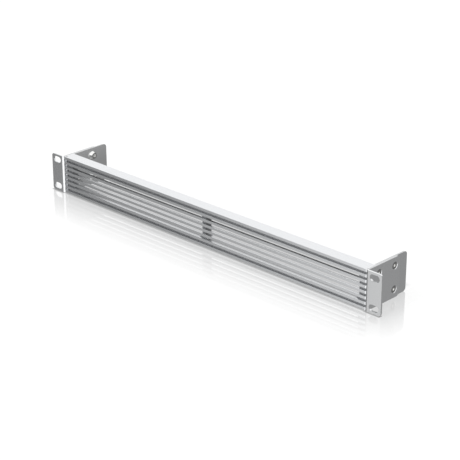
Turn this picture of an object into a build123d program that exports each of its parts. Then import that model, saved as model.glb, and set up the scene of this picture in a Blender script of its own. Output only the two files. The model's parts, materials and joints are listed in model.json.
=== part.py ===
from build123d import *

import os
from math import radians, tan

# A vented one-unit panel for a 19-inch rack: a finned aluminium front with two long windows milled
# through it from behind, flat side plates on its ends, and a pair of screwed-on rack ears.
# X runs along the panel, the front faces -Y, Z is up. The origin is under the middle of the panel.

# Rack interface
PANEL_WIDTH = 482.6
PANEL_HEIGHT = 43.6
PANEL_DEPTH = 63.4
EAR_WIDTH = 19.6
SLOT_TO_EDGE = 8.75
SLOT_SPACING_Z = 31.75
SLOT_LENGTH = 12.0
SLOT_HEIGHT = 7.0

# Finned front
FIN_SETBACK = 1.0
FIN_COUNT = 8
FIN_THICKNESS = 3.0
FIN_DEPTH = 2.7
FIN_END_CHAMFER = 0.9
FRONT_EDGE_RADIUS = 0.5
CORE_THICKNESS = 9.0
FLANGE_OVERHANG = 2.0

# Windows behind the grooves
WINDOW_GROOVES = 5
WINDOW_RADIUS = 5.0
POST_WIDTH = 4.6
END_WIDTH = 10.2

# Sheet metal of the side plates and ears
SHEET = 2.0
BEND_RADIUS = 0.4
EAR_PLATE_DEPTH = 50.0
EAR_CORNER_RADIUS = 3.0
PLATE_CORNER_RADIUS = 4.0
NOTCH_CORNER_RADIUS = 0.8
NOTCH_GAP = 0.2

# All screws are countersunk, in holes that are conical through the whole sheet
COUNTERSINK_ANGLE = 90
SCREW_CLEARANCE = 0.1

# Ear screws, M4, and the press nuts that take them
EAR_SCREW_FIRST_Y = 18.0
EAR_SCREW_SPACING_Y = 24.2
EAR_SCREW_SPACING_Z = 25.5
EAR_SCREW_DIAMETER = 4.0
EAR_SCREW_LENGTH = 6.0
EAR_HEAD_SINK = 0.35
EAR_SOCKET_ACROSS_FLATS = 2.5
NUT_COLLAR_RADIUS = 5.2
NUT_TOP_RADIUS = 3.5
NUT_HEIGHT = 3.0

# End screws, M3, which hold the side plates to the ends of the front
END_SCREW_SPACING_Z = 17.6
END_SCREW_DIAMETER = 3.0
END_SCREW_LENGTH = 8.0
END_HEAD_SINK = 0.1
END_SOCKET_ACROSS_FLATS = 2.0
TAPPED_HOLE_SPARE = 0.5

# Planes and places worked out from the sizes above
front_y = -PANEL_DEPTH / 2
fin_front_y = front_y + FIN_SETBACK
core_front_y = fin_front_y + FIN_DEPTH
core_rear_y = core_front_y + CORE_THICKNESS
flange_rear_y = core_rear_y + FLANGE_OVERHANG
panel_rear_y = front_y + PANEL_DEPTH
mid_z = PANEL_HEIGHT / 2
body_width = PANEL_WIDTH - 2 * EAR_WIDTH
body_end_x = body_width / 2
plate_inner_x = body_end_x - SHEET
ear_outer_x = body_end_x + SHEET

groove_height = (PANEL_HEIGHT - FIN_COUNT * FIN_THICKNESS) / (FIN_COUNT - 1)
fin_pitch = FIN_THICKNESS + groove_height
flange_thickness = FIN_THICKNESS
inside_height = PANEL_HEIGHT - 2 * flange_thickness
window_height = WINDOW_GROOVES * fin_pitch - FIN_THICKNESS
window_width = body_end_x - END_WIDTH - POST_WIDTH / 2
window_mid_x = (body_end_x - END_WIDTH + POST_WIDTH / 2) / 2

ear_screw_y = {
    "front": front_y + EAR_SCREW_FIRST_Y,
    "rear": front_y + EAR_SCREW_FIRST_Y + EAR_SCREW_SPACING_Y,
}
end_screw_y = core_front_y + CORE_THICKNESS / 2
levels = {"lower": -1, "upper": 1}


def level_places(x, y, spacing_z):
    """Lower and upper place on the right end, each with its local Z axis pointing out of that end."""
    return {
        level: Plane(origin=(x, y, mid_z + side * spacing_z / 2), z_dir=(1, 0, 0))
        for level, side in levels.items()
    }


def ear_hole_places(x):
    """Places of the four holes that the ear screws pass through, on the plane at x."""
    return [place for y in ear_screw_y.values() for place in level_places(x, y, EAR_SCREW_SPACING_Z).values()]


def cone_spread(height):
    """How much wider a countersink's cone gets over a height."""
    return height * tan(radians(COUNTERSINK_ANGLE / 2))


def cut_countersinks(places, diameter):
    """Cuts a screw's conical holes through the sheet whose inner face holds the places."""
    radius = diameter / 2 + SCREW_CLEARANCE
    with Locations(places):
        Cone(
            radius,
            radius + cone_spread(SHEET),
            SHEET,
            align=(Align.CENTER, Align.CENTER, Align.MIN),
            mode=Mode.SUBTRACT,
        )


def countersunk_screw(diameter, length, head_sink, across_flats):
    """A socket screw with the top of its head on Z = 0 and its tip below.

    Its head ends level with the inner face of its sheet, and its top lies head_sink under the outer face.
    """
    radius = diameter / 2
    head_height = SHEET - head_sink
    with BuildPart() as screw:
        with BuildSketch(Plane.XZ):
            with BuildLine():
                Polyline(
                    (0, 0),
                    (radius + cone_spread(head_height), 0),
                    (radius, -head_height),
                    (radius, -length),
                    (0, -length),
                    close=True,
                )
            make_face()
        revolve(axis=Axis.Z)
        with BuildSketch(Plane.XY):
            RegularPolygon(across_flats / 2, 6, major_radius=False)
        extrude(amount=-across_flats / 2, mode=Mode.SUBTRACT)
    return screw.part


def press_nut():
    """The cone-shaped body of a press nut, from Z = 0 on the sheet's inner face down."""
    with BuildPart() as nut:
        with BuildSketch(Plane.XZ):
            with BuildLine():
                Polyline(
                    (EAR_SCREW_DIAMETER / 2, 0),
                    (NUT_COLLAR_RADIUS, 0),
                    (NUT_TOP_RADIUS, -NUT_HEIGHT),
                    (EAR_SCREW_DIAMETER / 2, -NUT_HEIGHT),
                    close=True,
                )
            make_face()
        revolve(axis=Axis.Z)
    return nut.part


# The finned front, an extrusion along X
with BuildPart() as front_panel:
    with BuildSketch(Plane.YZ.offset(-body_end_x)):
        with Locations((fin_front_y, 0)):
            Rectangle(flange_rear_y - fin_front_y, PANEL_HEIGHT, align=(Align.MIN, Align.MIN))
        with Locations((core_rear_y, flange_thickness)):
            Rectangle(FLANGE_OVERHANG, inside_height, align=(Align.MIN, Align.MIN), mode=Mode.SUBTRACT)
    extrude(amount=body_width)
    chamfer(front_panel.edges().filter_by(Axis.Z).group_by(Axis.Y)[0], FIN_END_CHAMFER)
    fillet(front_panel.edges().filter_by(Axis.X).group_by(Axis.Y)[0], FRONT_EDGE_RADIUS)

    # Grooves between the fins
    with BuildSketch(Plane.YZ.offset(-body_end_x)):
        with Locations((fin_front_y + FIN_DEPTH / 2, mid_z)):
            with GridLocations(0, fin_pitch, 1, FIN_COUNT - 1):
                Rectangle(FIN_DEPTH, groove_height)
    extrude(amount=body_width, mode=Mode.SUBTRACT)

    # Windows milled from behind as far as the grooves, with a post left between them
    with BuildSketch(Plane.XZ.offset(-core_rear_y)):
        with Locations((-window_mid_x, mid_z), (window_mid_x, mid_z)):
            RectangleRounded(window_width, window_height, WINDOW_RADIUS)
    extrude(amount=CORE_THICKNESS, mode=Mode.SUBTRACT)

    # Seats for the side plates at both ends, between the flanges
    for side in (-1, 1):
        with BuildSketch(Plane.YZ.offset(side * plate_inner_x)):
            with Locations((core_front_y, flange_thickness)):
                Rectangle(flange_rear_y - core_front_y, inside_height, align=(Align.MIN, Align.MIN))
        extrude(amount=side * SHEET, mode=Mode.SUBTRACT)

    # Tapped holes for the end screws
    for side in (-1, 1):
        with BuildSketch(Plane.YZ.offset(side * plate_inner_x)):
            with Locations((end_screw_y, mid_z)):
                with GridLocations(0, END_SCREW_SPACING_Z, 1, 2):
                    Circle(END_SCREW_DIAMETER / 2)
        extrude(amount=-side * (END_SCREW_LENGTH + TAPPED_HOLE_SPARE - SHEET), mode=Mode.SUBTRACT)

# A flat side plate, full height behind the flanges, with a tongue between them
with BuildPart() as right_side_plate:
    with BuildSketch(Plane.YZ.offset(plate_inner_x)):
        with Locations((flange_rear_y + NOTCH_GAP, 0)):
            Rectangle(
                panel_rear_y - flange_rear_y - NOTCH_GAP, PANEL_HEIGHT, align=(Align.MIN, Align.MIN)
            )
    extrude(amount=SHEET)
    plate_corners = right_side_plate.edges().filter_by(Axis.X).group_by(Axis.Y)
    fillet(plate_corners[-1], PLATE_CORNER_RADIUS)
    fillet(plate_corners[0], NOTCH_CORNER_RADIUS)
    with BuildSketch(Plane.YZ.offset(plate_inner_x)):
        with Locations((core_front_y, flange_thickness)):
            Rectangle(CORE_THICKNESS + FLANGE_OVERHANG + SHEET, inside_height, align=(Align.MIN, Align.MIN))
    extrude(amount=SHEET)
    with Locations(ear_hole_places(body_end_x)):
        Hole(EAR_SCREW_DIAMETER / 2 + SCREW_CLEARANCE, SHEET)
    end_holes = level_places(plate_inner_x, end_screw_y, END_SCREW_SPACING_Z)
    cut_countersinks(list(end_holes.values()), END_SCREW_DIAMETER)

# A rack ear, bent from sheet: its plate lies on the side plate and its flange faces the rack
with BuildPart() as right_rack_ear:
    with BuildSketch():
        with BuildLine():
            Polyline(
                (body_end_x, front_y + EAR_PLATE_DEPTH),
                (body_end_x, front_y),
                (PANEL_WIDTH / 2, front_y),
                (PANEL_WIDTH / 2, front_y + SHEET),
                (ear_outer_x, front_y + SHEET),
                (ear_outer_x, front_y + EAR_PLATE_DEPTH),
                close=True,
            )
        make_face()
    extrude(amount=PANEL_HEIGHT)
    upright_edges = right_rack_ear.edges().filter_by(Axis.Z)
    outer_bend = upright_edges.group_by(Axis.Y)[0].sort_by(Axis.X)[0]
    inner_bend = upright_edges.group_by(Axis.Y)[1].sort_by(Axis.X)[0]
    fillet(outer_bend, BEND_RADIUS + SHEET)
    fillet(inner_bend, BEND_RADIUS)
    fillet(right_rack_ear.edges().filter_by(Axis.Y).group_by(Axis.X)[-1], EAR_CORNER_RADIUS)
    fillet(right_rack_ear.edges().filter_by(Axis.X).group_by(Axis.Y)[-1], PLATE_CORNER_RADIUS)
    with BuildSketch(Plane.XZ.offset(-front_y)):
        with Locations((PANEL_WIDTH / 2 - SLOT_TO_EDGE, mid_z)):
            with GridLocations(0, SLOT_SPACING_Z, 1, 2):
                SlotOverall(SLOT_LENGTH, SLOT_HEIGHT)
    extrude(amount=-SHEET, mode=Mode.SUBTRACT)
    cut_countersinks(ear_hole_places(body_end_x), EAR_SCREW_DIAMETER)

ear_screw = countersunk_screw(
    EAR_SCREW_DIAMETER,
    EAR_SCREW_LENGTH,
    EAR_HEAD_SINK,
    EAR_SOCKET_ACROSS_FLATS,
)
end_screw = countersunk_screw(
    END_SCREW_DIAMETER,
    END_SCREW_LENGTH,
    END_HEAD_SINK,
    END_SOCKET_ACROSS_FLATS,
)
nut = press_nut()


def mirrored(piece):
    """The same piece for the left end."""
    with BuildPart() as left_piece:
        mirror(piece.part, about=Plane.YZ)
    return left_piece


def at_both_ends(fastener, place):
    """A fastener at its place on the right end, and its mirror image on the left end."""
    with BuildPart() as pair:
        with Locations(place):
            add(fastener)
        mirror(about=Plane.YZ)
    return pair


pieces = {
    "front_panel": front_panel,
    "right_side_plate": right_side_plate,
    "left_side_plate": mirrored(right_side_plate),
    "right_rack_ear": right_rack_ear,
    "left_rack_ear": mirrored(right_rack_ear),
}
for row, y in ear_screw_y.items():
    for level, place in level_places(ear_outer_x - EAR_HEAD_SINK, y, EAR_SCREW_SPACING_Z).items():
        pieces[f"{row}_{level}_ear_screws"] = at_both_ends(ear_screw, place)
    for level, place in level_places(plate_inner_x, y, EAR_SCREW_SPACING_Z).items():
        pieces[f"{row}_{level}_press_nuts"] = at_both_ends(nut, place)
for level, place in level_places(body_end_x - END_HEAD_SINK, end_screw_y, END_SCREW_SPACING_Z).items():
    pieces[f"{level}_end_screws"] = at_both_ends(end_screw, place)

os.makedirs("parts", exist_ok=True)
for name, piece in pieces.items():
    piece.part.label = name
    export_step(piece.part, f"parts/{name}.step")
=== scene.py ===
import json
import logging
import math
from dataclasses import dataclass, field
from enum import Enum
from typing import Union

import bpy
import numpy as np
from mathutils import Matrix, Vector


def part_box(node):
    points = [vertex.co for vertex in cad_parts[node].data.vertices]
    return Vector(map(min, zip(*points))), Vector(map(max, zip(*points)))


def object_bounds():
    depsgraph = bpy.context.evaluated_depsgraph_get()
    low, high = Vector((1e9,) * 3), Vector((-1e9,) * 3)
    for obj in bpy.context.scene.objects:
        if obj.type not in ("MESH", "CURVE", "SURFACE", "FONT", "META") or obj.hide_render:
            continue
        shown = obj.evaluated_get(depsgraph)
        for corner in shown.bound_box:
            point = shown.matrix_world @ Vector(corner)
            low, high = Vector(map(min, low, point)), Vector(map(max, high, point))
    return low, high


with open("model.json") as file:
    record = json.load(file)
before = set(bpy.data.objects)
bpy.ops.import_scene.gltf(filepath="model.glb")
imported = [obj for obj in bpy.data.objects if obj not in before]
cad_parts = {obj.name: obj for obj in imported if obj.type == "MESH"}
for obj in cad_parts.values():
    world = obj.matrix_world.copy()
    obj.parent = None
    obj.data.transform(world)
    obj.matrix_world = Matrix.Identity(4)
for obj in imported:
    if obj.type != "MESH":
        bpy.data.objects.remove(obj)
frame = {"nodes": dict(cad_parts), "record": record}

logging.basicConfig(level=logging.INFO, format="%(name)s: %(message)s")
log = logging.getLogger("rack_panel_scene")

# Boxes of the whole object and of the nodes that the looks are placed by
CAD_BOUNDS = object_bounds()
PANEL_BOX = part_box("front_panel")
LEFT_PLATE_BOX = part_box("left_side_plate")
PLATE_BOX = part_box("right_side_plate")
EAR_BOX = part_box("right_rack_ear")
SCREW_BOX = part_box("rear_upper_ear_screws")

# Short names for types of Blender's, and what an input can be fed with
Socket = bpy.types.NodeSocket
Tree = bpy.types.NodeTree
Value = Union[Socket, float, tuple[float, ...]]


@dataclass(frozen=True)
class Wiring:
    """Adds nodes to a tree, with their inputs linked to outputs or set to values.

    Args:
        tree: The tree.
    """

    tree: Tree

    def put(self, socket: Socket, value: Value) -> None:
        """Feeds an input.

        Args:
            socket: The input.
            value: An output to link to it, or the number, vector or colour to set it to.
        """
        if isinstance(value, Socket):
            self.tree.links.new(value, socket)
        else:
            socket.default_value = value

    def node(
        self, kind: str, inputs: dict[str | int, Value] | None = None, **settings: object
    ) -> bpy.types.Node:
        """Adds a node.

        Args:
            kind: Its type in Blender.
            inputs: What feeds its inputs, by their names or numbers.
            settings: Its own settings, such as its operation.

        Returns:
            The node.
        """
        node = self.tree.nodes.new(kind)
        for name, setting in settings.items():
            setattr(node, name, setting)
        for key, value in (inputs or {}).items():
            self.put(node.inputs[key], value)
        return node

    def math(self, operation: str, *values: Value, clamp: bool = False) -> Socket:
        """Adds one step of arithmetic.

        Args:
            operation: Its name in Blender.
            values: What it works on.
            clamp: Whether the result is held between 0 and 1.

        Returns:
            The result.
        """
        node = self.node("ShaderNodeMath", dict(enumerate(values)), operation=operation, use_clamp=clamp)
        return node.outputs[0]

    def vector(self, operation: str, *values: Value) -> Socket:
        """Adds one step of vector arithmetic.

        Args:
            operation: Its name in Blender.
            values: What it works on.

        Returns:
            The result, which is a number for a dot product or a length.
        """
        node = self.node("ShaderNodeVectorMath", dict(enumerate(values)), operation=operation)
        return node.outputs["Value" if operation in ("DOT_PRODUCT", "LENGTH") else "Vector"]

    def scaled(self, vector: Value, factor: Value) -> Socket:
        """Multiplies a vector or a colour by a number.

        Args:
            vector: The vector or colour.
            factor: The number.

        Returns:
            The product.
        """
        node = self.node("ShaderNodeVectorMath", {0: vector, "Scale": factor}, operation="SCALE")
        return node.outputs["Vector"]

    def parts(self, vector: Value) -> bpy.types.NodeOutputs:
        """Splits a vector into outputs named X, Y and Z."""
        return self.node("ShaderNodeSeparateXYZ", {"Vector": vector}).outputs

    def ramp(
        self, value: Value, span: tuple[float, float], levels: tuple[float, float], smooth: bool = False
    ) -> Socket:
        """Turns a value into a level that is held outside its span.

        Args:
            value: The value.
            span: The value where the ramp starts and where it ends.
            levels: The level at its start and at its end.
            smooth: Whether it sets in and ends smoothly.

        Returns:
            The level.
        """
        named = zip(("From Min", "From Max", "To Min", "To Max"), (*span, *levels))
        interpolation = "SMOOTHSTEP" if smooth else "LINEAR"
        inputs = {"Value": value, **dict(named)}
        return self.node("ShaderNodeMapRange", inputs, interpolation_type=interpolation).outputs["Result"]

    def blend(self, share: Value, below: Value, above: Value) -> Socket:
        """Blends two numbers.

        Args:
            share: How much of the second is in the blend.
            below: The first number.
            above: The second number.

        Returns:
            The blend.
        """
        inputs = {"Factor": share, "A": below, "B": above}
        return self.node("ShaderNodeMix", inputs, data_type="FLOAT").outputs["Result"]

    def noise(self, vector: Value, scale: Value, detail: float) -> Socket:
        """Adds a noise.

        Args:
            vector: The place that it is read at.
            scale: Its scale, per metre.
            detail: How many finer layers it has.

        Returns:
            Its value, about one half on average.
        """
        inputs = {"Vector": vector, "Scale": scale, "Detail": detail}
        return self.node("ShaderNodeTexNoise", inputs).outputs["Fac"]


class SocketKind(Enum):
    """What a socket of a node group carries."""

    NUMBER = "NodeSocketFloat"
    VECTOR = "NodeSocketVector"
    COLOUR = "NodeSocketColor"


@dataclass(frozen=True)
class GroupSocket:
    """A named socket of a node group.

    Args:
        name: Its name.
        kind: What it carries.
        value: What it holds where nothing feeds it, if that is set.
    """

    name: str
    kind: SocketKind = SocketKind.NUMBER
    value: float | tuple[float, ...] | None = None


class GroupLibrary:
    """The node groups that several materials share, each built once.

    BROAD_SCALE and FINE_SCALE are the scales of the mottle's two noises, per metre. LINE_SQUEEZE is the
    share of the place that is left along the axis of the drawn lines.
    """

    BROAD_SCALE = 38.0
    FINE_SCALE = 900.0
    LINE_SQUEEZE = 0.005

    def __init__(self) -> None:
        """Builds every group."""
        self.mottle = self._mottle()
        self.relief = self._relief()
        self.band = self._band()

    @staticmethod
    def _open(
        name: str, inputs: tuple[GroupSocket, ...], outputs: tuple[GroupSocket, ...]
    ) -> tuple[Wiring, bpy.types.NodeOutputs, bpy.types.NodeInputs]:
        """Starts a group with its sockets.

        Args:
            name: The group's name.
            inputs: The sockets that it is fed through.
            outputs: The sockets that it puts its results out through.

        Returns:
            The wiring of the group's tree, what it is given, and what its results go into.
        """
        tree = bpy.data.node_groups.new(name, "ShaderNodeTree")
        for direction, sockets in (("INPUT", inputs), ("OUTPUT", outputs)):
            for socket in sockets:
                made = tree.interface.new_socket(
                    name=socket.name, in_out=direction, socket_type=socket.kind.value
                )
                if socket.value is not None:
                    made.default_value = socket.value
        wiring = Wiring(tree)
        return wiring, wiring.node("NodeGroupInput").outputs, wiring.node("NodeGroupOutput").inputs

    def _mottle(self) -> Tree:
        """Slow changes of tone and roughness, as on a handled metal sheet.

        Both follow the sum of a broad and a fine noise, less that sum's average of 1.

        Returns:
            A group that puts out Color and Roughness.
        """
        wiring, given, result = self._open(
            "metal_mottle",
            inputs=(
                GroupSocket("Vector", SocketKind.VECTOR),
                GroupSocket("Tone", SocketKind.COLOUR, (0.8, 0.8, 0.8, 1.0)),
                GroupSocket("Tone Spread", value=0.03),
                GroupSocket("Roughness", value=0.35),
                GroupSocket("Roughness Spread", value=0.05),
            ),
            outputs=(GroupSocket("Color", SocketKind.COLOUR), GroupSocket("Roughness")),
        )
        broad = wiring.noise(given["Vector"], self.BROAD_SCALE, detail=3.0)
        fine = wiring.noise(given["Vector"], self.FINE_SCALE, detail=2.0)
        centred = wiring.math("SUBTRACT", wiring.math("ADD", broad, fine), 1.0)
        share = wiring.math("MULTIPLY_ADD", centred, given["Tone Spread"], 1.0)
        wiring.put(result["Color"], wiring.scaled(given["Tone"], share))
        rough = wiring.math(
            "MULTIPLY_ADD", centred, given["Roughness Spread"], given["Roughness"], clamp=True
        )
        wiring.put(result["Roughness"], rough)
        return wiring.tree

    def _relief(self) -> Tree:
        """Drawn lines along one axis with a fine grain over them.

        The lines are a noise of the place times 1 - axis * (1 - squeeze), so they are long along the axis.

        Returns:
            A group that puts out Height, in metres.
        """
        wiring, given, result = self._open(
            "metal_relief",
            inputs=(
                GroupSocket("Vector", SocketKind.VECTOR),
                GroupSocket("Line Axis", SocketKind.VECTOR, (1.0, 0.0, 0.0)),
                GroupSocket("Line Scale", value=2000.0),
                GroupSocket("Line Depth", value=1e-6),
                GroupSocket("Bead Scale", value=4000.0),
                GroupSocket("Bead Depth", value=1e-6),
            ),
            outputs=(GroupSocket("Height"),),
        )
        less = (self.LINE_SQUEEZE - 1.0,) * 3
        squeeze = wiring.vector("MULTIPLY_ADD", given["Line Axis"], less, (1.0, 1.0, 1.0))
        squeezed = wiring.vector("MULTIPLY", given["Vector"], squeeze)
        lines = wiring.noise(squeezed, given["Line Scale"], detail=2.0)
        beads = wiring.noise(given["Vector"], given["Bead Scale"], detail=2.0)
        bead_height = wiring.math("MULTIPLY", beads, given["Bead Depth"])
        height = wiring.math("MULTIPLY_ADD", lines, given["Line Depth"], bead_height)
        wiring.put(result["Height"], height)
        return wiring.tree

    def _band(self) -> Tree:
        """A mask of where the distance d = |place along an axis - middle| lies between two values.

        It is clamp((d - low) / feather) * clamp((high - d) / feather), times the mask handed in.

        Returns:
            A group that puts out Mask, 1 inside the band and 0 elsewhere.
        """
        wiring, given, result = self._open(
            "face_band",
            inputs=(
                GroupSocket("Vector", SocketKind.VECTOR),
                GroupSocket("Axis", SocketKind.VECTOR, (1.0, 0.0, 0.0)),
                GroupSocket("Middle", value=0.0),
                GroupSocket("Low", value=0.0),
                GroupSocket("High", value=1.0),
                GroupSocket("Feather", value=1e-6),
                GroupSocket("Also Inside", value=1.0),
            ),
            outputs=(GroupSocket("Mask"),),
        )
        place = wiring.vector("DOT_PRODUCT", given["Vector"], given["Axis"])
        distance = wiring.math("ABSOLUTE", wiring.math("SUBTRACT", place, given["Middle"]))
        mask = given["Also Inside"]
        for more, less in ((distance, given["Low"]), (given["High"], distance)):
            room = wiring.math("SUBTRACT", more, less)
            share = wiring.math("DIVIDE", room, given["Feather"], clamp=True)
            mask = wiring.math("MULTIPLY", mask, share)
        wiring.put(result["Mask"], mask)
        return wiring.tree


class Axis(Enum):
    """A row axis, as a unit vector."""

    ALONG = (1.0, 0.0, 0.0)
    DEEP = (0.0, 1.0, 0.0)
    UP = (0.0, 0.0, 1.0)


@dataclass(frozen=True)
class Grain:
    """Fine relief of a metal skin.

    Args:
        axis: The axis along which the skin's lines run.
        line_pitch: Distance between two drawn lines, in metres.
        line_depth: Relief of the lines, in metres.
        bead_size: Size of the blasted or sprayed grain, in metres.
        bead_depth: Relief of that grain, in metres.
    """

    axis: Axis
    line_pitch: float
    line_depth: float
    bead_size: float
    bead_depth: float


@dataclass(frozen=True)
class Band:
    """Where a distance along one axis lies between two values.

    Args:
        axis: The axis.
        middle: Where on it the distance is zero, in metres.
        low: The least distance, in metres. A face at the middle itself needs one below zero.
        high: The greatest distance, in metres.
        feather: Width over which the band sets in and ends, in metres.
    """

    axis: Axis
    middle: float = 0.0
    low: float = 0.0
    high: float = 1.0
    feather: float = 1e-6


@dataclass(frozen=True)
class PaintedShadeAndDarkerTone:
    """Faces whose tone is scaled down, found by the bands that they all lie in: mostly painted shade, and
    on the side plates a darker tone.

    Args:
        bands: The bands.
        share: Share of the tone that is left there.
    """

    bands: tuple[Band, ...]
    share: float

    def scale(self, wiring: Wiring, groups: GroupLibrary, place: Socket, colour: Socket) -> Socket:
        """Scales a colour down on these faces.

        Args:
            wiring: The wiring of the material's tree.
            groups: The shared node groups.
            place: The place on the surface.
            colour: The colour.

        Returns:
            The scaled colour.
        """
        inside: Value = 1.0
        for band in self.bands:
            inputs = {
                "Vector": place,
                "Axis": band.axis.value,
                "Middle": band.middle,
                "Low": band.low,
                "High": band.high,
                "Feather": band.feather,
                "Also Inside": inside,
            }
            inside = wiring.node("ShaderNodeGroup", inputs, node_tree=groups.band).outputs["Mask"]
        return wiring.scaled(colour, wiring.ramp(inside, (0.0, 1.0), (1.0, self.share)))


@dataclass(frozen=True)
class MetalFinish:
    """A metal skin, as one material made from the shared node groups.

    Args:
        name: The material's name.
        tone: Base colour, linear, at the middle of its range.
        tone_spread: How far the tone wanders about that, as a share of it.
        roughness: Middle roughness.
        roughness_spread: How far the roughness wanders about that.
        grain: Relief of the skin.
        painted_shade_and_darker_tone: Faces whose tone is scaled down: mostly painted shade, and on the
            side plates a darker tone.
        metallic: Share of metal in the reflection.
    """

    name: str
    tone: tuple[float, float, float]
    tone_spread: float
    roughness: float
    roughness_spread: float
    grain: Grain
    painted_shade_and_darker_tone: tuple[PaintedShadeAndDarkerTone, ...] = ()
    metallic: float = 1.0

    def build(self, groups: GroupLibrary) -> bpy.types.Material:
        """Makes the material.

        Args:
            groups: The shared node groups.

        Returns:
            The finished material.
        """
        material = bpy.data.materials.new(self.name)
        material.use_nodes = True
        wiring = Wiring(material.node_tree)
        place = wiring.node("ShaderNodeTexCoord").outputs["Object"]
        mottle_inputs = {
            "Vector": place,
            "Tone": (*self.tone, 1.0),
            "Tone Spread": self.tone_spread,
            "Roughness": self.roughness,
            "Roughness Spread": self.roughness_spread,
        }
        relief_inputs = {
            "Vector": place,
            "Line Axis": self.grain.axis.value,
            "Line Scale": 1.0 / self.grain.line_pitch,
            "Line Depth": self.grain.line_depth,
            "Bead Scale": 1.0 / self.grain.bead_size,
            "Bead Depth": self.grain.bead_depth,
        }
        mottle = wiring.node("ShaderNodeGroup", mottle_inputs, node_tree=groups.mottle)
        relief = wiring.node("ShaderNodeGroup", relief_inputs, node_tree=groups.relief)
        bump_inputs = {"Strength": 1.0, "Distance": 1.0, "Height": relief.outputs["Height"]}
        bump = wiring.node("ShaderNodeBump", bump_inputs)
        colour = mottle.outputs["Color"]
        # Painted shade, and on the side plates a darker tone, scale the colour down here
        for faces in self.painted_shade_and_darker_tone:
            colour = faces.scale(wiring, groups, place, colour)

        shader = material.node_tree.nodes["Principled BSDF"]
        wiring.put(shader.inputs["Metallic"], self.metallic)
        wiring.put(shader.inputs["Base Color"], colour)
        wiring.put(shader.inputs["Roughness"], mottle.outputs["Roughness"])
        wiring.put(shader.inputs["Normal"], bump.outputs["Normal"])
        return material


@dataclass(frozen=True)
class PaintedRecessShade:
    """Painted shade in the grooves of the front and on the milled walls of its windows, where the metal is
    also rougher.

    Args:
        fin_depth: Depth of the grooves behind the fins' fronts, in metres.
        core_depth: Depth of the milled walls behind the grooves, in metres.
        rim: Width of the bright skin that is left along the outside, in metres.
        rim_fade: Where the grooves are in full, as a multiple of the rim.
        front_fade: How far behind the fins' fronts the grooves set in and are in full, in metres.
        wall_fade: How far behind the grooves the walls set in and are in full, in metres.
        rear_fade: How far before the walls' rear ends they end and are still in full, in metres.
        groove_share: Share of the tone that is left in the grooves.
        wall_share: Share of the tone that is left on the milled walls.
        groove_roughness: Roughness that the grooves add.
        wall_roughness: Roughness that the milled walls add.
    """

    fin_depth: float = 0.0027
    core_depth: float = 0.0090
    rim: float = 0.0009
    rim_fade: float = 1.3
    front_fade: tuple[float, float] = (0.0003, 0.0008)
    wall_fade: tuple[float, float] = (0.0001, 0.0005)
    rear_fade: tuple[float, float] = (0.0001, 0.0003)
    groove_share: float = 0.63
    wall_share: float = 0.34
    groove_roughness: float = 0.10
    wall_roughness: float = 0.16

    def add(self, material: bpy.types.Material) -> None:
        """Puts the painted shade and the added roughness into the front's material.

        How deep a point lies is its Y minus the Y of the fins' fronts. How far inside it lies is the least
        of half the front's width minus |X| and half its height minus |Z - middle|.

        Args:
            material: The material, with its colour and roughness already linked to the shader.
        """
        low, high = PANEL_BOX
        wiring = Wiring(material.node_tree)
        place = wiring.node("ShaderNodeTexCoord").outputs["Object"]
        moved = wiring.vector("SUBTRACT", place, (0.0, low[1], (low[2] + high[2]) / 2))
        half_sizes = ((high[0] - low[0]) / 2, 0.0, (high[2] - low[2]) / 2)
        inward = wiring.parts(wiring.vector("SUBTRACT", half_sizes, wiring.vector("ABSOLUTE", moved)))
        deep = wiring.parts(moved)["Y"]

        rim_span = (self.rim, self.rim * self.rim_fade)
        inside = wiring.math(
            "MINIMUM",
            wiring.ramp(inward["X"], rim_span, (0.0, 1.0)),
            wiring.ramp(inward["Z"], rim_span, (0.0, 1.0)),
        )
        wall_start = self.fin_depth
        wall_end = self.fin_depth + self.core_depth
        wall_span = (wall_start + self.wall_fade[0], wall_start + self.wall_fade[1])
        rear_span = (wall_end - self.rear_fade[0], wall_end - self.rear_fade[1])
        behind_front = wiring.ramp(deep, self.front_fade, (0.0, 1.0))
        before_rear = wiring.ramp(deep, rear_span, (0.0, 1.0))
        groove = wiring.math("MULTIPLY", inside, wiring.math("MULTIPLY", behind_front, before_rear))
        wall = wiring.math("MULTIPLY", groove, wiring.ramp(deep, wall_span, (0.0, 1.0)))

        # Painted shade: the tone drops to groove_share in the grooves and to wall_share on the milled walls
        share = wiring.math(
            "MULTIPLY",
            wiring.ramp(groove, (0.0, 1.0), (1.0, self.groove_share)),
            wiring.ramp(wall, (0.0, 1.0), (1.0, self.wall_share / self.groove_share)),
        )
        added = wiring.math(
            "ADD",
            wiring.ramp(groove, (0.0, 1.0), (0.0, self.groove_roughness)),
            wiring.ramp(wall, (0.0, 1.0), (0.0, self.wall_roughness - self.groove_roughness)),
        )
        shader = material.node_tree.nodes["Principled BSDF"]
        colour = shader.inputs["Base Color"].links[0].from_socket
        roughness = shader.inputs["Roughness"].links[0].from_socket
        wiring.put(shader.inputs["Base Color"], wiring.scaled(colour, share))
        wiring.put(shader.inputs["Roughness"], wiring.math("ADD", roughness, added))


# Planes of the object, in metres
FRONT_Y = CAD_BOUNDS[0][1]
HALF_HEIGHT = (CAD_BOUNDS[1][2] - CAD_BOUNDS[0][2]) / 2
TOP_Z = 2 * HALF_HEIGHT
PANEL_END_X = PANEL_BOX[1][0]
PLATE_INNER_X = PLATE_BOX[0][0]
PLATE_OUTER_X = PLATE_BOX[1][0]
SCREW_TOP_X = SCREW_BOX[1][0]
NUT_END_X = SCREW_TOP_X - 0.0066

# Middle between the two pairs of screws behind the front, and the screws' height from the middle
PAIRS_MIDDLE_Y = FRONT_Y + 0.0301
SCREW_HEIGHT = 0.01275

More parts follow.
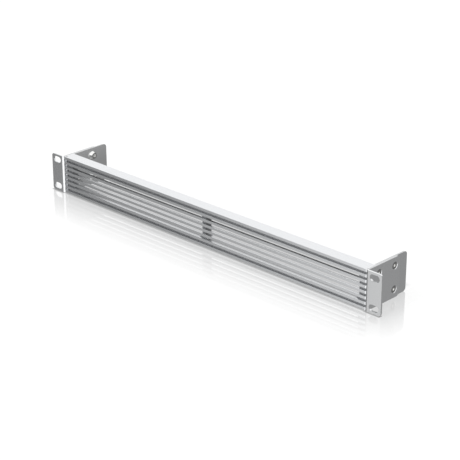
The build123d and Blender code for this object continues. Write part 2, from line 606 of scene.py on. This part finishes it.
# Where the painted shade in a countersink lies: from and to along X, and how far above the screw's middle
SINK_SHADE_SPAN = (SCREW_TOP_X - 0.0001, SCREW_TOP_X + 0.00032)
SINK_SHADE_RISE = 0.0025

# How far below the screw's middle the painted shade on its nut lies
NUT_SHADE_FALL = 0.0036

# How far from its plane a face is still found: on a sheet or nut, a screw's top, the front's top face
SHEET_SLACK = 5e-5
SCREW_SLACK = 4e-5
TOP_SLACK = 3e-5

# A least distance that takes in the plane itself
WITH_PLANE = -1.0

# The cut edges of the sheets above and below, behind the ears' flanges, made darker
CUT_EDGES = PaintedShadeAndDarkerTone(
    bands=(
        Band(Axis.UP, middle=HALF_HEIGHT, low=HALF_HEIGHT - SHEET_SLACK),
        Band(Axis.DEEP, middle=FRONT_Y, low=0.0022),
    ),
    share=0.745,
)

# The side plates, with the first half millimetre of the ears outside them
SIDE_PLATES = PaintedShadeAndDarkerTone(bands=(Band(Axis.ALONG, high=PLATE_OUTER_X + 5e-4),), share=0.965)

# Painted shade on the side plates' inner faces, the more the lower they are
PAINTED_INNER_FACE_SHADE = PaintedShadeAndDarkerTone(
    bands=(
        Band(Axis.ALONG, low=PLATE_INNER_X - SHEET_SLACK, high=PLATE_INNER_X + SHEET_SLACK),
        Band(Axis.UP, middle=TOP_Z, feather=0.018),
    ),
    share=0.84,
)

# Painted shade on the inside of the left ear's bend, which narrows the bend's highlight
PAINTED_BEND_SHADE = PaintedShadeAndDarkerTone(
    bands=(
        Band(Axis.ALONG, middle=-PANEL_END_X, high=0.0004),
        Band(Axis.DEEP, middle=FRONT_Y, high=0.0026),
    ),
    share=0.55,
)

# Painted shade on the upper side of the ears' countersinks, around the screws' heads
PAINTED_SINK_SHADES = tuple(
    PaintedShadeAndDarkerTone(
        bands=(
            Band(Axis.DEEP, middle=PAIRS_MIDDLE_Y, low=0.0078, high=0.0164),
            Band(Axis.ALONG, low=SINK_SHADE_SPAN[0], high=SINK_SHADE_SPAN[1]),
            Band(Axis.UP, middle=HALF_HEIGHT + height + SINK_SHADE_RISE, high=0.0021),
        ),
        share=0.45,
    )
    for height in (-SCREW_HEIGHT, SCREW_HEIGHT)
)

# Painted shade on the left ends of the front's grooves, on the front's top face and on the right tips of
# its fins
PAINTED_GROOVE_END_SHADE = PaintedShadeAndDarkerTone(
    bands=(
        Band(Axis.ALONG, middle=-PANEL_END_X, high=0.0045, feather=0.0015),
        Band(Axis.DEEP, middle=FRONT_Y, low=0.0018, high=0.0045),
    ),
    share=0.55,
)
PAINTED_TOP_FACE_SHADE = PaintedShadeAndDarkerTone(bands=(Band(Axis.UP, middle=TOP_Z, low=WITH_PLANE, high=TOP_SLACK),), share=0.94)
PAINTED_FIN_TIP_SHADE = PaintedShadeAndDarkerTone(
    bands=(
        Band(Axis.ALONG, middle=PANEL_END_X, low=WITH_PLANE, high=0.00055),
        Band(Axis.DEEP, middle=FRONT_Y, high=0.0045),
    ),
    share=0.55,
)

# Painted shade on the tops of the screws, on the ends of the press nuts and on the lower sides of the upper
# ones
PAINTED_SCREW_TOP_SHADE = PaintedShadeAndDarkerTone(bands=(Band(Axis.ALONG, low=SCREW_TOP_X - SCREW_SLACK),), share=0.42)
PAINTED_NUT_END_SHADE = PaintedShadeAndDarkerTone(bands=(Band(Axis.ALONG, high=NUT_END_X),), share=0.42)
PAINTED_NUT_CONE_SHADE = PaintedShadeAndDarkerTone(
    bands=(
        Band(Axis.ALONG, low=NUT_END_X + SHEET_SLACK, high=PLATE_INNER_X + SHEET_SLACK),
        Band(Axis.UP, middle=HALF_HEIGHT + SCREW_HEIGHT - NUT_SHADE_FALL, high=0.0022),
    ),
    share=0.6,
)

ANODISED_FRONT = MetalFinish(
    name="anodised_front",
    tone=(0.793, 0.805, 0.822),
    tone_spread=0.012,
    roughness=0.22,
    roughness_spread=0.03,
    grain=Grain(Axis.ALONG, line_pitch=0.0006, line_depth=1.5e-6, bead_size=0.00025, bead_depth=2.0e-6),
    painted_shade_and_darker_tone=(PAINTED_GROOVE_END_SHADE, PAINTED_TOP_FACE_SHADE, PAINTED_FIN_TIP_SHADE),
)
PAINTED_SHEET = MetalFinish(
    name="painted_sheet",
    tone=(0.783, 0.792, 0.801),
    tone_spread=0.012,
    roughness=0.22,
    roughness_spread=0.03,
    grain=Grain(Axis.UP, line_pitch=0.0008, line_depth=0.5e-6, bead_size=0.0003, bead_depth=2.0e-6),
    painted_shade_and_darker_tone=(CUT_EDGES, SIDE_PLATES, PAINTED_INNER_FACE_SHADE, PAINTED_BEND_SHADE, *PAINTED_SINK_SHADES),
)
ZINC_FASTENERS = MetalFinish(
    name="zinc_fasteners",
    tone=(0.86, 0.86, 0.85),
    tone_spread=0.03,
    roughness=0.20,
    roughness_spread=0.04,
    grain=Grain(Axis.UP, line_pitch=0.0003, line_depth=0.5e-6, bead_size=0.00015, bead_depth=1.0e-6),
    painted_shade_and_darker_tone=(PAINTED_SCREW_TOP_SHADE, PAINTED_NUT_END_SHADE, PAINTED_NUT_CONE_SHADE),
)


@dataclass
class CadPieces:
    """Gives every CAD node the finish of its material slot.

    Args:
        finishes: The finishes, by the names of their slots.
        recess_shade: The painted shade and added roughness in the front's grooves and windows.
    """

    finishes: dict[str, MetalFinish] = field(
        default_factory=lambda: {
            finish.name: finish for finish in (ANODISED_FRONT, PAINTED_SHEET, ZINC_FASTENERS)
        }
    )
    recess_shade: PaintedRecessShade = PaintedRecessShade()

    def dress(self, groups: GroupLibrary) -> None:
        """Puts the finishes on the nodes.

        Args:
            groups: The shared node groups.
        """
        materials = {name: finish.build(groups) for name, finish in self.finishes.items()}
        self.recess_shade.add(materials[ANODISED_FRONT.name])
        slots = {part["node"]: part["material_slot"] for part in frame["record"]["subparts"]}
        for name, node in frame["nodes"].items():
            node.data.materials.clear()
            node.data.materials.append(materials[slots[name]])
            log.info("%s dressed as %s", name, slots[name])


@dataclass(frozen=True)
class PhotoCamera:
    """The photograph's camera, fitted to the rack slots and edges in it.

    Args:
        place: Its place in the row frame, in metres.
        azimuth: Its turn about Z from looking along +Y, in degrees, towards -X.
        depression: How far it looks down, in degrees.
        focal_pixels: Its focal length in pixels of the photograph.
        frame_pixels: The photograph's width and height.
        sensor_width: Width of its sensor, in millimetres.
        clip: Distances between which it sees, in metres.
    """

    place: tuple[float, float, float] = (1.05847, -1.08513, 0.65660)
    azimuth: float = 43.99
    depression: float = 23.13
    focal_pixels: float = 1545.56
    frame_pixels: int = 460
    sensor_width: float = 36.0
    clip: tuple[float, float] = (0.01, 50.0)

    def build(self) -> None:
        """Makes the camera and sets it as the scene's."""
        data = bpy.data.cameras.new("photo_camera")
        data.sensor_fit = "HORIZONTAL"
        data.sensor_width = self.sensor_width
        data.lens = self.focal_pixels / self.frame_pixels * data.sensor_width
        data.clip_start, data.clip_end = self.clip
        camera = bpy.data.objects.new("photo_camera", data)
        camera.location = self.place
        camera.rotation_euler = (math.radians(90.0 - self.depression), 0.0, math.radians(self.azimuth))
        bpy.context.scene.collection.objects.link(camera)
        bpy.context.scene.camera = camera
        log.info("camera set")


@dataclass(frozen=True)
class Surround:
    """The studio's light.

    It is grey all round low down, with a lit side, a softbox behind the panel and a bright ceiling.

    Args:
        grey_level: Strength low down, away from the lit side.
        lit_azimuth: Direction of the lit side, in degrees from +X.
        lit_level: Strength low down on the lit side.
        fade: Cosines of the angle from the lit side between which the grey lifts to the lit level.
        box_azimuth: Direction of the softbox's middle, in degrees from +X.
        box_elevation: Its height above the horizon, in degrees.
        box_edge: Cosines of the angle from its middle between which it starts and is full.
        box_level: Strength of the softbox.
        ceiling_level: Strength overhead.
        ceiling: Heights of a unit direction between which the ceiling takes over.
        dim_azimuth: Direction of the middle of the dimmest part, in degrees from +X.
        dim_edge: Cosines of the angle from its middle between which it starts and is full.
        dim_share: Share of the strength that is left in its middle.
    """

    grey_level: float = 0.42
    lit_azimuth: float = 309.0
    lit_level: float = 1.75
    fade: tuple[float, float] = (-0.02, 0.55)
    box_azimuth: float = 132.0
    box_elevation: float = 28.0
    box_edge: tuple[float, float] = (0.70, 0.90)
    box_level: float = 1.40
    ceiling_level: float = 1.40
    ceiling: tuple[float, float] = (0.43, 0.64)
    dim_azimuth: float = 200.0
    dim_edge: tuple[float, float] = (0.74, 0.93)
    dim_share: float = 0.66

    def build(self) -> None:
        """Makes the world, which the camera itself sees as plain white."""
        world = bpy.data.worlds.new("studio")
        bpy.context.scene.world = world
        world.use_nodes = True
        world.node_tree.nodes.clear()
        wiring = Wiring(world.node_tree)
        direction = wiring.node("ShaderNodeTexCoord").outputs["Generated"]
        to_lit = self._toward(wiring, direction, self.lit_azimuth)
        to_box = self._toward(wiring, direction, self.box_azimuth, self.box_elevation)
        to_dim = self._toward(wiring, direction, self.dim_azimuth)

        low = wiring.ramp(to_lit, self.fade, (self.grey_level, self.lit_level), smooth=True)
        in_box = wiring.ramp(to_box, self.box_edge, (0.0, 1.0), smooth=True)
        sides = wiring.blend(in_box, low, self.box_level)
        in_ceiling = wiring.ramp(wiring.parts(direction)["Z"], self.ceiling, (0.0, 1.0), smooth=True)
        undimmed = wiring.blend(in_ceiling, sides, self.ceiling_level)
        dimming = wiring.ramp(to_dim, self.dim_edge, (1.0, self.dim_share), smooth=True)
        strength = wiring.math("MULTIPLY", undimmed, dimming)

        surround = wiring.node("ShaderNodeBackground", {"Strength": strength})
        white = wiring.node("ShaderNodeBackground", {"Color": (1.0, 1.0, 1.0, 1.0), "Strength": 1.0})
        chosen_inputs = {
            "Fac": wiring.node("ShaderNodeLightPath").outputs["Is Camera Ray"],
            1: surround.outputs["Background"],
            2: white.outputs["Background"],
        }
        chosen = wiring.node("ShaderNodeMixShader", chosen_inputs)
        wiring.node("ShaderNodeOutputWorld", {"Surface": chosen.outputs["Shader"]})
        log.info("surround built")

    @staticmethod
    def _toward(wiring: Wiring, direction: Socket, azimuth: float, elevation: float = 0.0) -> Socket:
        """The cosine of the angle between a direction and a fixed one.

        Args:
            wiring: The wiring of the world's tree.
            direction: The direction.
            azimuth: The fixed direction's turn from +X, in degrees.
            elevation: Its height above the horizon, in degrees.

        Returns:
            The cosine.
        """
        turn, lift = math.radians(azimuth), math.radians(elevation)
        fixed = (math.cos(lift) * math.cos(turn), math.cos(lift) * math.sin(turn), math.sin(lift))
        return wiring.vector("DOT_PRODUCT", direction, fixed)


@dataclass(frozen=True)
class Floor:
    """The white floor, which shadows the panel and mirrors it for a short way in front of it.

    Args:
        half: Half the width of the floor, in metres.
        drop: How far it lies under the panel's foot, so that the two faces don't share a plane.
        tone: Reflectance.
        glow: What the floor adds for the camera alone, so that it shows as white.
        gloss: Share of the light that it mirrors beside the panel.
        gloss_reach: How far from the panel's outline the mirror fades out, in metres.
        roughness: Roughness of the mirror.
        bay_shade: Share of its brightness that is left between the side plates, behind the front.
        bay_edge: How far inside the bay's outline that shade is full, in metres.
        bay_beyond: How far the shade reaches behind the side plates, in metres.
        contact_shade: Share of the light that is lost along the panel's foot.
        contact_reach: How far in front of the foot that shade is full and where it ends, in metres.
        ear_contact: How much more light is lost under an ear than under the front, as a factor.
        side_gloss: How much stronger the mirror is beside a side plate than in front of the panel.
        side_reach: How far from the side plate that mirror fades out, in metres.
        side_start: How far behind the ears' fronts that mirror sets in, in metres.
    """

    half: float = 12.0
    drop: float = 0.0001
    tone: float = 0.32
    glow: float = 0.74
    gloss: float = 0.40
    gloss_reach: float = 0.068
    roughness: float = 0.06
    bay_shade: float = 0.62
    bay_edge: float = 0.012
    bay_beyond: float = 0.018
    contact_shade: float = 0.38
    contact_reach: tuple[float, float] = (0.0016, 0.0030)
    ear_contact: float = 1.3
    side_gloss: float = 1.12
    side_reach: float = 0.12
    side_start: float = 0.002

    def build(self) -> None:
        """Makes the floor, a square with its corners at plus and minus its half width."""
        corner = np.array([[-1, -1, 0], [1, -1, 0], [1, 1, 0], [-1, 1, 0]], dtype=float) * self.half
        corner[:, 2] = -self.drop
        mesh = bpy.data.meshes.new("studio_floor")
        mesh.from_pydata(corner.tolist(), [], [(0, 1, 2, 3)])
        floor = bpy.data.objects.new("studio_floor", mesh)
        bpy.context.scene.collection.objects.link(floor)
        mesh.materials.append(self._material())
        floor.visible_glossy = False
        log.info("floor built")

    def _material(self) -> bpy.types.Material:
        """A matt white with a mirror in it, both shaded where the panel shades them.

        Returns:
            The finished material.
        """
        material = bpy.data.materials.new("studio_floor")
        material.use_nodes = True
        material.node_tree.nodes.clear()
        wiring = Wiring(material.node_tree)
        place = wiring.node("ShaderNodeTexCoord").outputs["Object"]
        in_bay = self._in_bay(wiring, place)
        matt = wiring.node("ShaderNodeBsdfDiffuse", {"Color": self._shaded(wiring, in_bay, self.tone)})
        seen = wiring.node("ShaderNodeLightPath").outputs["Is Camera Ray"]
        amount = wiring.math("MULTIPLY", seen, self._shaded(wiring, in_bay, self.glow))
        glow = wiring.node("ShaderNodeEmission", {"Strength": amount})
        lit = wiring.node("ShaderNodeAddShader", {0: matt.outputs["BSDF"], 1: glow.outputs["Emission"]})

        mirror = wiring.node("ShaderNodeBsdfGlossy", {"Roughness": self.roughness})
        mirror_share = wiring.math(
            "MULTIPLY",
            self._beside_plates(wiring, place, self._near_panel(wiring, place)),
            wiring.math("SUBTRACT", 1.0, in_bay),
        )
        polished = wiring.node(
            "ShaderNodeMixShader",
            {"Fac": mirror_share, 1: lit.outputs["Shader"], 2: mirror.outputs["BSDF"]},
        )
        black = wiring.node("ShaderNodeBsdfDiffuse", {"Color": (0.0, 0.0, 0.0, 1.0)})
        touched = wiring.node(
            "ShaderNodeMixShader",
            {"Fac": self._at_foot(wiring, place), 1: polished.outputs["Shader"], 2: black.outputs["BSDF"]},
        )
        wiring.node("ShaderNodeOutputMaterial", {"Surface": touched.outputs["Shader"]})
        return material

    def _shaded(self, wiring: Wiring, in_bay: Socket, full: float) -> Socket:
        """A level that drops to its shaded share in the bay.

        Args:
            wiring: The wiring of the floor's tree.
            in_bay: How far a point is in the bay, from 0 to 1.
            full: The level outside the bay.

        Returns:
            The level.
        """
        return wiring.ramp(in_bay, (0.0, 1.0), (full, full * self.bay_shade))

    def _in_bay(self, wiring: Wiring, place: Socket) -> Socket:
        """How far a point is in the bay: its depth inside the bay's outline, turned into 0 to 1.

        The depth is the least of half the outline minus |place - middle|, along X and along Y.

        Args:
            wiring: The wiring of the floor's tree.
            place: The point.

        Returns:
            The share.
        """
        front_y = PANEL_BOX[0][1]
        rear_y = PLATE_BOX[1][1] + self.bay_beyond
        half_width = (PLATE_BOX[0][0] - LEFT_PLATE_BOX[1][0]) / 2
        centred = wiring.vector("SUBTRACT", place, (0.0, (front_y + rear_y) / 2, 0.0))
        half_sizes = (half_width, (rear_y - front_y) / 2, 1.0)
        depth = wiring.parts(wiring.vector("SUBTRACT", half_sizes, wiring.vector("ABSOLUTE", centred)))
        least = wiring.math("MINIMUM", depth["X"], depth["Y"])
        return wiring.ramp(least, (0.0, self.bay_edge), (0.0, 1.0), smooth=True)

    def _near_panel(self, wiring: Wiring, place: Socket) -> Socket:
        """The mirror's share: the distance to the panel's outline on the floor, turned into a fading share.

        The distance is the length of |place| minus half the outline, with what lies inside taken as zero.

        Args:
            wiring: The wiring of the floor's tree.
            place: The point.

        Returns:
            The share.
        """
        low, high = CAD_BOUNDS
        half_sizes = ((high[0] - low[0]) / 2, (high[1] - low[1]) / 2, 0.0)
        beyond = wiring.vector("SUBTRACT", wiring.vector("ABSOLUTE", place), half_sizes)
        distance = wiring.vector("LENGTH", wiring.vector("MAXIMUM", beyond, (0.0, 0.0, 0.0)))
        return wiring.ramp(distance, (0.0, self.gloss_reach), (self.gloss, 0.0))

    def _beside_plates(self, wiring: Wiring, place: Socket, share: Socket) -> Socket:
        """The mirror's share, with a stronger and shorter mirror beside the side plates.

        The factor is the fading one or 1, whichever is less, and without that limit beside the plates.

        Args:
            wiring: The wiring of the floor's tree.
            place: The point.
            share: The mirror's share elsewhere.

        Returns:
            The share.
        """
        parts = wiring.parts(place)
        across = wiring.math("ABSOLUTE", parts["X"])
        reach = (PLATE_OUTER_X, PLATE_OUTER_X + self.side_reach)
        fading = wiring.ramp(across, reach, (self.side_gloss, 0.0))
        outside = wiring.math("GREATER_THAN", across, PLATE_OUTER_X)
        behind_ear = wiring.math("GREATER_THAN", parts["Y"], EAR_BOX[0][1] + self.side_start)
        here = wiring.math("MULTIPLY", outside, behind_ear)
        most = wiring.math("MULTIPLY_ADD", here, self.side_gloss, 1.0)
        return wiring.math("MULTIPLY", share, wiring.math("MINIMUM", fading, most))

    def _at_foot(self, wiring: Wiring, place: Socket) -> Socket:
        """The share of light that is lost along the foot.

        It follows the distance in front of the panel's front, and in front of the ears' beside it.

        Args:
            wiring: The wiring of the floor's tree.
            place: The point.

        Returns:
            The share.
        """
        parts = wiring.parts(place)
        across = wiring.math("ABSOLUTE", parts["X"])
        panel_y, ear_y = PANEL_BOX[0][1], EAR_BOX[0][1]
        beside = wiring.math("GREATER_THAN", across, PANEL_END_X)
        foot_y = wiring.math("MULTIPLY_ADD", beside, ear_y - panel_y, panel_y)
        distance = wiring.math("SUBTRACT", foot_y, parts["Y"])
        shade = wiring.ramp(distance, self.contact_reach, (self.contact_shade, 0.0))
        not_behind = wiring.math("GREATER_THAN", distance, -self.contact_reach[1])
        under = wiring.math("LESS_THAN", across, EAR_BOX[1][0])
        here = wiring.math("MULTIPLY", not_behind, under)
        strength = wiring.math("MULTIPLY_ADD", beside, self.ear_contact - 1.0, 1.0)
        return wiring.math("MULTIPLY", shade, wiring.math("MULTIPLY", here, strength))


def main() -> None:
    """Builds the scene."""
    bpy.context.scene.view_settings.view_transform = "Standard"
    PhotoCamera().build()
    Surround().build()
    Floor().build()
    CadPieces().dress(GroupLibrary())


if __name__ == "__main__":
    main()
